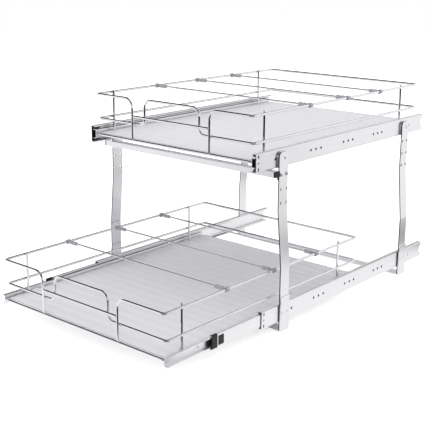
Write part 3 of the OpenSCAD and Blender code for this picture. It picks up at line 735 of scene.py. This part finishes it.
class ORGANIZER_OT_side_posts(Operator):
    """Stands four posts inside each basket's corners and welds them to rim, ring and floor"""
    bl_idname = "organizer.side_posts"
    bl_label = "Side posts"

    def execute(self, context):
        wires = context.scene.organizer_wires
        for tier in TIERS:
            at = basket_frame(tier)
            bm = bmesh.new()
            for x in both_sides(at["post_side"]):
                outward = math.copysign(wires.wire / 2, x)
                for y in (at["post_front"], at["post_back"]):
                    foot, top = (x, y, at["post_foot"]), (x, y, at["post_top"])
                    add_straight_wire(bm, foot, top, wires.wire)
                    for z in (at["rim"], at["ring"], at["floor"]):
                        add_weld(bm, (x + outward, y, z), wires.weld)
            plate_wires(tier, "posts", bm, "side_posts")
        return {"FINISHED"}


# how far the cross wires end before the middle of the floor's frame, as a share of its thickness
CROSS_WIRE_SHORT = 0.4
# how deep the carrier wire sinks into the cross wires at its welds, as a share of its thickness
CARRIER_SINK = 0.13
# corners of the thin wires' rounds
THIN_AROUND = 12


def floor_places(at, pitch):
    """Where the cross wires lie, front to back."""
    depth = at["back"] - at["front"]
    gaps = round(depth / pitch)
    return [at["front"] + depth * k / gaps for k in range(gaps + 1)]


class ORGANIZER_OT_floor_grids(Operator):
    """Welds each basket's floor: a bent frame, cross wires and one carrier wire along the middle"""
    bl_idname = "organizer.floor_grids"
    bl_label = "Floor grids"

    def execute(self, context):
        wires = context.scene.organizer_wires
        for tier in TIERS:
            at = basket_frame(tier)
            side, front, back, z = at["side"], at["front"], at["back"], at["floor"]
            corners = [(-side, front, z), (-side, back, z), (side, back, z), (side, front, z)]
            bm = bmesh.new()
            outline = rounded_path(corners, [wires.corner] * len(corners), closed=True)
            add_wire(bm, outline, wires.wire, closed=True)
            reach = side - wires.wire * CROSS_WIRE_SHORT
            under = z - wires.floor_wire * (1 - CARRIER_SINK)
            for y in floor_places(at, wires.floor_pitch)[1:-1]:
                add_straight_wire(bm, (-reach, y, z), (reach, y, z), wires.floor_wire, THIN_AROUND)
                for x in both_sides(side - wires.wire / 2):
                    add_weld(bm, (x, y, z), wires.weld)
            add_straight_wire(bm, (0, front, under), (0, back, under), wires.floor_wire, THIN_AROUND)
            plate_wires(tier, "floor", bm, "floor_grid")
        return {"FINISHED"}


# rows of a liner's mesh, close enough to follow the sag between two wires
LINER_ROWS = 220
# its columns, as shares of half its width
LINER_COLUMNS = (-1.0, -0.98, -0.85, -0.5, 0.0, 0.5, 0.85, 0.98, 1.0)
# gap between the liner's notches and the posts that stand in them
NOTCH_GAP = 0.6 * MM
# distance of the two rows that make a notch's edge from that edge
NOTCH_STEP = 0.01 * MM


def liner_half_width(y, low, high, radius, posts, notch):
    """Half a liner's width at y: round at the corners, notched at the posts."""
    near = min(y - low.y, high.y - y)
    half = high.x
    if near < radius:
        half -= radius - math.sqrt(max(0.0, radius ** 2 - (radius - near) ** 2))
    if min(abs(y - post) for post in posts) < notch:
        half -= 2 * notch
    return half


def skin_sheet(bm, tops, bottoms):
    """Faces over, under and round two layers of vertices that lie in rows."""
    last = len(tops[0]) - 1
    for i in range(len(tops) - 1):
        for k in range(last):
            for rows in (tops, bottoms):
                bm.faces.new((rows[i][k], rows[i][k + 1], rows[i + 1][k + 1], rows[i + 1][k]))
        for k in (0, last):
            bm.faces.new((tops[i][k], tops[i + 1][k], bottoms[i + 1][k], bottoms[i][k]))
    for i in (0, len(tops) - 1):
        for k in range(last):
            bm.faces.new((tops[i][k], tops[i][k + 1], bottoms[i][k + 1], bottoms[i][k]))


class ORGANIZER_OT_liners(Operator):
    """Lays a frosted sheet on each basket's floor; it sinks a little between the wires"""
    bl_idname = "organizer.liners"
    bl_label = "Liners"

    def execute(self, context):
        plastics = context.scene.organizer_plastics
        wires = context.scene.organizer_wires
        notch = wires.wire / 2 + NOTCH_GAP
        for tier in TIERS:
            at = basket_frame(tier)
            low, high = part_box(f"{tier}_liner")
            thickness = high.z - low.z
            posts = (at["post_front"], at["post_back"])
            first_wire, second_wire = floor_places(at, wires.floor_pitch)[:2]
            places = [low.y + (high.y - low.y) * k / LINER_ROWS for k in range(LINER_ROWS + 1)]
            for edge in [post + notch * way for post in posts for way in (-1, 1)]:
                places += [edge - NOTCH_STEP, edge + NOTCH_STEP]
            bm = bmesh.new()
            # where this is 0, on a wire, the liner's material paints shade
            free_of_wire = bm.verts.layers.float.new("free_of_wire")
            tops, bottoms = [], []
            for y in sorted(places):
                free = math.sin(math.pi * (y - first_wire) / (second_wire - first_wire)) ** 2
                dip = plastics.sag * free
                half = liner_half_width(y, low, high, plastics.liner_corner, posts, notch)
                tops.append([bm.verts.new((half * c, y, high.z - dip)) for c in LINER_COLUMNS])
                bottoms.append([
                    bm.verts.new((half * c, y, high.z - thickness - dip)) for c in LINER_COLUMNS])
                for vertex in tops[-1] + bottoms[-1]:
                    vertex[free_of_wire] = free
            skin_sheet(bm, tops, bottoms)
            make_piece(f"{tier}_liner_sheet", bm, f"{tier}_basket", frosted_polypropylene_sheet,
                       replaced=(f"{tier}_liner",))
        return {"FINISHED"}


class ORGANIZER_OT_divider_rods(Operator):
    """Lays the divider rods across the rims"""
    bl_idname = "organizer.divider_rods"
    bl_label = "Divider rods"

    def execute(self, context):
        plastics = context.scene.organizer_plastics
        for tier in TIERS:
            for number in DIVIDERS:
                node = f"{tier}_divider_rod_{number}"
                low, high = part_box(node)
                y, z = (low.y + high.y) / 2, (low.z + high.z) / 2
                bm = bmesh.new()
                add_straight_wire(bm, (low.x, y, z), (high.x, y, z), plastics.rod)
                make_piece(f"{tier}_rod_{number}", bm, f"{tier}_divider_{number}",
                           chromed_steel_wire, replaced=(node,))
        return {"FINISHED"}


# play between a clip's ring and the rim wire in it
RING_PLAY = 0.08 * MM
# rounding of the ring's two rims, inwards and along
RIM_IN, RIM_ALONG = 0.7 * MM, 0.8 * MM
# length of the ring's bore as a share of the ring's length, and corners of its rounds
BORE_LENGTH = 0.9
RING_AROUND = 28
# the neck between ring and sleeve: its root in the ring, its length, its radius as a share
NECK_ROOT, NECK_LENGTH, NECK_RADIUS = 0.4 * MM, 3 * MM, 0.5
# rounding of the sleeve's ends: distances from the end, and shares of the radius at lip and mouth
LIP, SHOULDER = 0.5 * MM, 2 * MM
LIP_RADIUS, MOUTH_RADIUS = 0.86, 0.6
# the sleeve's waist, so that it reads as two lobes: shares of its length and of its radius
WAIST = ((0.38, 1.0), (0.46, 0.8), (0.54, 0.8), (0.62, 1.0))


def add_divider_clip(bm, plastics, rim_x, y, z, wire):
    """One clip: a snap ring round the rim, a neck and a two-lobed sleeve round the rod's end."""
    ring = plastics.ring / 2
    bore = wire / 2 + RING_PLAY
    half = plastics.ring_length / 2
    # the ring: a turned band with rounded rims, open inside for the wire
    outline = [(bore, -half * BORE_LENGTH), (ring - RIM_IN, -half), (ring, -half + RIM_ALONG),
               (ring, half - RIM_ALONG), (ring - RIM_IN, half), (bore, half * BORE_LENGTH)]
    right, up = Vector((1, 0, 0)), Vector((0, 0, 1))
    loops = [
        add_ring(bm, Vector((rim_x, y + along, z)), right, up, radius, RING_AROUND)
        for radius, along in outline]
    for loop, following in zip(loops, loops[1:] + loops[:1]):
        join_rings(bm, loop, following)
    # the neck and the sleeve, turned about the rod
    root = ring - NECK_ROOT
    start = root + NECK_LENGTH
    length, full = plastics.sleeve_length, plastics.sleeve / 2
    neck, lip = full * NECK_RADIUS, full * LIP_RADIUS
    lobes = [(root, 0), (root, neck), (start, neck), (start + LIP, lip), (start + SHOULDER, full)]
    lobes += [(start + length * along, full * wide) for along, wide in WAIST]
    end = start + length
    lobes += [(end - SHOULDER, full), (end - LIP, lip), (end, full * MOUTH_RADIUS), (end, 0)]
    add_lathe(bm, (rim_x, y, z), (-math.copysign(1.0, rim_x), 0, 0), lobes)


class ORGANIZER_OT_divider_clips(Operator):
    """Moulds the clips that carry the divider rods on the rims"""
    bl_idname = "organizer.divider_clips"
    bl_label = "Divider clips"

    def execute(self, context):
        plastics = context.scene.organizer_plastics
        wires = context.scene.organizer_wires
        for tier in TIERS:
            at = basket_frame(tier)
            for number in DIVIDERS:
                node = f"{tier}_divider_clips_{number}"
                low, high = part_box(node)
                y = (low.y + high.y) / 2
                bm = bmesh.new()
                for x in both_sides(at["side"]):
                    add_divider_clip(bm, plastics, x, y, at["rim"], wires.wire)
                make_piece(f"{tier}_clips_{number}", bm, f"{tier}_divider_{number}",
                           smoked_polycarbonate, replaced=(node,))
        return {"FINISHED"}


# a fixed rail's holes are in its web: this near its outer face, within this share of its height,
# and further than this from its ends
WEB_DEPTH = 1.5 * MM
WEB_HALF_HEIGHT = 0.4
END_DEPTH = 1 * MM
# a hole's wall faces sideways by less than this
HOLE_WALL = 0.3


def grease_holes(piece, low, high):
    """Gives the walls of a fixed rail's holes the greased finish, painted near black as the shade
    inside them.
    """
    piece.data.materials.append(finish_of(greased_raceway))
    middle = (low.z + high.z) / 2
    reach = (high.z - low.z) * WEB_HALF_HEIGHT
    outer = max(abs(low.x), abs(high.x))
    for polygon in piece.data.polygons:
        centre = polygon.center
        in_web = abs(centre.x) > outer - WEB_DEPTH and abs(centre.z - middle) < reach
        at_end = min(centre.y - low.y, high.y - centre.y) < END_DEPTH
        if in_web and not at_end and abs(polygon.normal.x) < HOLE_WALL:
            polygon.material_index = 1


class ORGANIZER_OT_outer_rails(Operator):
    """Softens the cut edges of the fixed rails, plates them and greases their holes, whose walls are
    painted near black as the shade in them
    """
    bl_idname = "organizer.outer_rails"
    bl_label = "Outer rails"

    def execute(self, context):
        edges = context.scene.organizer_edges
        for tier, side in SLIDES:
            node = f"{tier}_{side}_outer_rail"
            rail = finer_copy(f"{node}_plated", node, "frame", zinc_plated_rail,
                              edges.rail_edge)
            grease_holes(rail, *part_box(node))
        return {"FINISHED"}


class ORGANIZER_OT_moving_rails(Operator):
    """Softens and plates the middle and inner rails"""
    bl_idname = "organizer.moving_rails"
    bl_label = "Middle and inner rails"

    def execute(self, context):
        edges = context.scene.organizer_edges
        for tier, side in SLIDES:
            middle = f"{tier}_{side}_middle_rail"
            inner = f"{tier}_{side}_inner_rail"
            for node, body in ((middle, f"{middle}_body"), (inner, f"{tier}_basket")):
                finer_copy(f"{node}_plated", node, body, zinc_plated_rail,
                           edges.rail_edge)
        return {"FINISHED"}


class ORGANIZER_OT_slide_plastics(Operator):
    """Moulds the black guides, front pieces and pads of the slides, and the crossbar's caps; the
    guides at the fixed rails' fronts also stand in for the shade inside the ball channels
    """
    bl_idname = "organizer.slide_plastics"
    bl_label = "Black plastic pieces"

    def execute(self, context):
        edges = context.scene.organizer_edges
        # painted shade: besides a black guide, this piece fills the dark inside of the fixed rails'
        # channels at their fronts, where there is only shade
        finer_copy("rail_guides", "rail_bumpers", "frame", black_acetal,
                   edges.guide_edge)
        finer_copy("crossbar_end_caps", "crossbar_caps", "frame", black_acetal,
                   edges.cap_edge)
        for tier, side in SLIDES:
            node = f"{tier}_{side}_middle_bumpers"
            finer_copy(f"{node}_moulded", node, f"{tier}_{side}_middle_rail_body", black_acetal,
                       edges.bumper_edge)
        return {"FINISHED"}


class ORGANIZER_OT_ball_cages(Operator):
    """Gives the ball cages their pressed and greased steel"""
    bl_idname = "organizer.ball_cages"
    bl_label = "Ball cages"

    def execute(self, context):
        for tier, side in SLIDES:
            for place in ("outer", "inner"):
                refinish(f"{tier}_{side}_{place}_cage", pressed_cage_steel)
        return {"FINISHED"}


def dull_cut_faces(piece, sideways):
    """Gives the sheared finish, dull and painted dark as shade, to edges, holes and flanks: faces
    that look sideways by less.
    """
    piece.data.materials.append(finish_of(sheared_steel_edge))
    for polygon in piece.data.polygons:
        if abs(polygon.normal.x) < sideways:
            polygon.material_index = 1


class ORGANIZER_OT_legs(Operator):
    """Softens and plates the strap legs and the pads behind their tops"""
    bl_idname = "organizer.legs"
    bl_label = "Legs"

    def execute(self, context):
        edges = context.scene.organizer_edges
        for corner in CORNERS:
            node = f"{corner}_leg"
            leg = finer_copy(f"{node}_plated", node, "frame", zinc_plated_strap,
                             edges.strap_edge)
            # painted shade on the legs' edges and hole walls, on top of their dull cut finish
            dull_cut_faces(leg, sideways=0.8)
        finer_copy("leg_pads_plated", "leg_pads", "frame", zinc_plated_strap,
                   edges.rail_edge)
        return {"FINISHED"}


class ORGANIZER_OT_cross_members(Operator):
    """Softens and plates the base plates and the crossbar"""
    bl_idname = "organizer.cross_members"
    bl_label = "Base plates and crossbar"

    def execute(self, context):
        edges = context.scene.organizer_edges
        for node in ("front_base_plate", "rear_base_plate"):
            finer_copy(f"{node}_plated", node, "frame", zinc_plated_cross_strap,
                       edges.strap_edge)
        finer_copy("top_crossbar_plated", "top_crossbar", "frame", zinc_plated_cross_strap,
                   edges.rail_edge)
        return {"FINISHED"}


class ORGANIZER_OT_fasteners(Operator):
    """Plates the screw and rivet heads"""
    bl_idname = "organizer.fasteners"
    bl_label = "Screws and rivets"

    def execute(self, context):
        for node in ("leg_screws", "rivets"):
            refinish(node, zinc_plated_fastener)
        # the screws' flanks and driver recesses are duller than their crowns, and painted dark as
        # shade round the heads and in the recesses
        dull_cut_faces(NODES["leg_screws"], sideways=0.5)
        return {"FINISHED"}


# width of the camera's sensor in millimetres, and how far it sees in metres
SENSOR_WIDTH = 36.0
FAR_SIGHT = 50.0


def aim_camera(stage):
    """Stands the camera where the photograph was taken from."""
    cos_pitch = math.cos(stage.pitch)
    forward = Vector((math.cos(stage.heading) * cos_pitch, math.sin(stage.heading) * cos_pitch,
                      math.sin(stage.pitch)))
    level_right = Vector((math.sin(stage.heading), -math.cos(stage.heading), 0))
    level_down = forward.cross(level_right)
    right = level_right * math.cos(stage.roll) + level_down * math.sin(stage.roll)
    down = level_down * math.cos(stage.roll) - level_right * math.sin(stage.roll)
    camera = bpy.data.objects.new("studio_camera", bpy.data.cameras.new("studio_camera"))
    bpy.context.scene.collection.objects.link(camera)
    camera.data.lens = stage.lens
    camera.data.sensor_width = SENSOR_WIDTH
    camera.data.clip_end = FAR_SIGHT
    turn = Matrix((right, -down, -forward)).transposed().to_4x4()
    camera.matrix_world = Matrix.Translation(Vector(stage.camera_place)) @ turn
    bpy.context.scene.camera = camera


def hang_softbox(stage):
    """Hangs the large square lamp over the part."""
    place = Vector(stage.lamp_place)
    lamp = bpy.data.objects.new("overhead_softbox", bpy.data.lights.new("overhead_softbox", "AREA"))
    lamp.data.shape = "SQUARE"
    lamp.data.size = stage.lamp_size
    lamp.data.energy = stage.lamp
    lamp.location = place
    lamp.rotation_euler = (Vector(stage.lamp_aim) - place).to_track_quat("-Z", "Y").to_euler()
    bpy.context.scene.collection.objects.link(lamp)


def lay_floor(size):
    """Lays the square sheet of paper that the part stands on."""
    reach = size / 2
    corners = [(-reach, -reach), (reach, -reach), (reach, reach), (-reach, reach)]
    bm = bmesh.new()
    bm.faces.new([bm.verts.new((x, y, CAD_BOX[0].z)) for x, y in corners])
    mesh = bpy.data.meshes.new("paper_floor")
    bm.to_mesh(mesh)
    bm.free()
    mesh.materials.append(finish_of(matte_paper))
    floor = bpy.data.objects.new("paper_floor", mesh)
    bpy.context.scene.collection.objects.link(floor)


def paint_room(world, strength):
    """An evenly lit white room, in which bright metal mirrors white walls and a black ceiling."""
    world.use_nodes = True
    tree = world.node_tree
    tree.nodes.clear()
    paths = add_node(tree, "ShaderNodeLightPath").outputs
    direction = add_node(tree, "ShaderNodeTexCoord").outputs["Generated"]
    heading = add_node(tree, "ShaderNodeSeparateXYZ", links={0: direction}).outputs
    # the ceiling starts lower in front than at the back, where a black flag hangs on the left
    brow, leftward, rearward, high_up = paint_edges(tree, (
        (heading["Y"], -0.2, 0.5, 0.26, 0.62),
        (heading["X"], -0.05, -0.25, 0.0, 1.0),
        (heading["Y"], -0.3, 0.1, 0.0, 1.0),
        (heading["Z"], 0.3, 0.42, 0.0, 1.0)))
    over_brow = add_node(
        tree, "ShaderNodeMath", operation="SUBTRACT", links={0: heading["Z"], 1: brow})
    left_rear = add_node(
        tree, "ShaderNodeMath", operation="MULTIPLY", links={0: leftward, 1: rearward})
    flag = add_node(
        tree, "ShaderNodeMath", operation="MULTIPLY", links={0: left_rear.outputs[0], 1: high_up})
    ceiling, past_flag = paint_edges(tree, (
        (over_brow.outputs[0], -0.04, 0.06, 1.0, BLACK),
        (flag.outputs[0], 0.0, 1.0, 1.0, BLACK)))
    painted = add_node(tree, "ShaderNodeMath", operation="MINIMUM", links={0: ceiling, 1: past_flag})
    flagged = add_node(
        tree, "ShaderNodeBackground", inputs={"Color": WHITE}, links={"Strength": painted.outputs[0]})
    lit_room = add_node(tree, "ShaderNodeBackground", inputs={"Color": WHITE, "Strength": strength})
    white = add_node(tree, "ShaderNodeBackground", inputs={"Color": WHITE, "Strength": 1.0})
    mirrored = add_node(
        tree, "ShaderNodeMixShader",
        links={0: paths["Is Glossy Ray"], 1: lit_room.outputs[0], 2: flagged.outputs[0]})
    mixed = add_node(
        tree, "ShaderNodeMixShader",
        links={0: seen_itself(tree, paths), 1: mirrored.outputs[0], 2: white.outputs[0]})
    add_node(tree, "ShaderNodeOutputWorld", links={"Surface": mixed.outputs[0]})


class ORGANIZER_OT_stage(Operator):
    """Sets up the camera, the white room, its paper floor and its softbox"""
    bl_idname = "organizer.stage"
    bl_label = "Stage"

    def execute(self, context):
        stage = context.scene.organizer_stage
        aim_camera(stage)
        world = bpy.data.worlds.new("studio_room")
        context.scene.world = world
        paint_room(world, stage.room)
        lay_floor(stage.floor_size)
        hang_softbox(stage)
        context.scene.view_settings.view_transform = "Standard"
        return {"FINISHED"}


class ORGANIZER_PT_sidebar(Panel):
    """Lists the pieces, and the sizes and colours that can be changed"""
    bl_idname = "ORGANIZER_PT_sidebar"
    bl_label = "Cabinet organizer"
    bl_space_type = "VIEW_3D"
    bl_region_type = "UI"
    bl_category = "Organizer"

    def draw(self, context):
        layout = self.layout
        for operator in PIECE_OPERATORS:
            layout.operator(operator.bl_idname)
        for settings in SETTINGS:
            group = getattr(context.scene, settings)
            box = layout.box()
            box.label(text=settings.replace("_", " "))
            for name in group.bl_rna.properties.keys():
                if name not in ("name", "rna_type"):
                    box.prop(group, name)


PIECE_OPERATORS = (
    ORGANIZER_OT_rim_wires, ORGANIZER_OT_ring_wires, ORGANIZER_OT_front_bars,
    ORGANIZER_OT_side_posts, ORGANIZER_OT_floor_grids, ORGANIZER_OT_liners,
    ORGANIZER_OT_divider_rods, ORGANIZER_OT_divider_clips, ORGANIZER_OT_outer_rails,
    ORGANIZER_OT_moving_rails, ORGANIZER_OT_slide_plastics, ORGANIZER_OT_ball_cages,
    ORGANIZER_OT_legs, ORGANIZER_OT_cross_members, ORGANIZER_OT_fasteners, ORGANIZER_OT_stage,
)
SETTINGS = {
    "organizer_wires": OrganizerWires,
    "organizer_plastics": OrganizerPlastics,
    "organizer_edges": OrganizerEdges,
    "organizer_colours": OrganizerColours,
    "organizer_stage": OrganizerStage,
}


def register():
    for settings, group in SETTINGS.items():
        bpy.utils.register_class(group)
        setattr(bpy.types.Scene, settings, PointerProperty(type=group))
    for cls in (*PIECE_OPERATORS, ORGANIZER_PT_sidebar):
        bpy.utils.register_class(cls)


def unregister():
    for cls in reversed((*PIECE_OPERATORS, ORGANIZER_PT_sidebar)):
        bpy.utils.unregister_class(cls)
    for settings, group in SETTINGS.items():
        delattr(bpy.types.Scene, settings)
        bpy.utils.unregister_class(group)


def main():
    """Builds every piece and the stage."""
    register()
    for operator in PIECE_OPERATORS:
        family, action = operator.bl_idname.split(".")
        getattr(getattr(bpy.ops, family), action)()


if __name__ == "__main__":
    main()
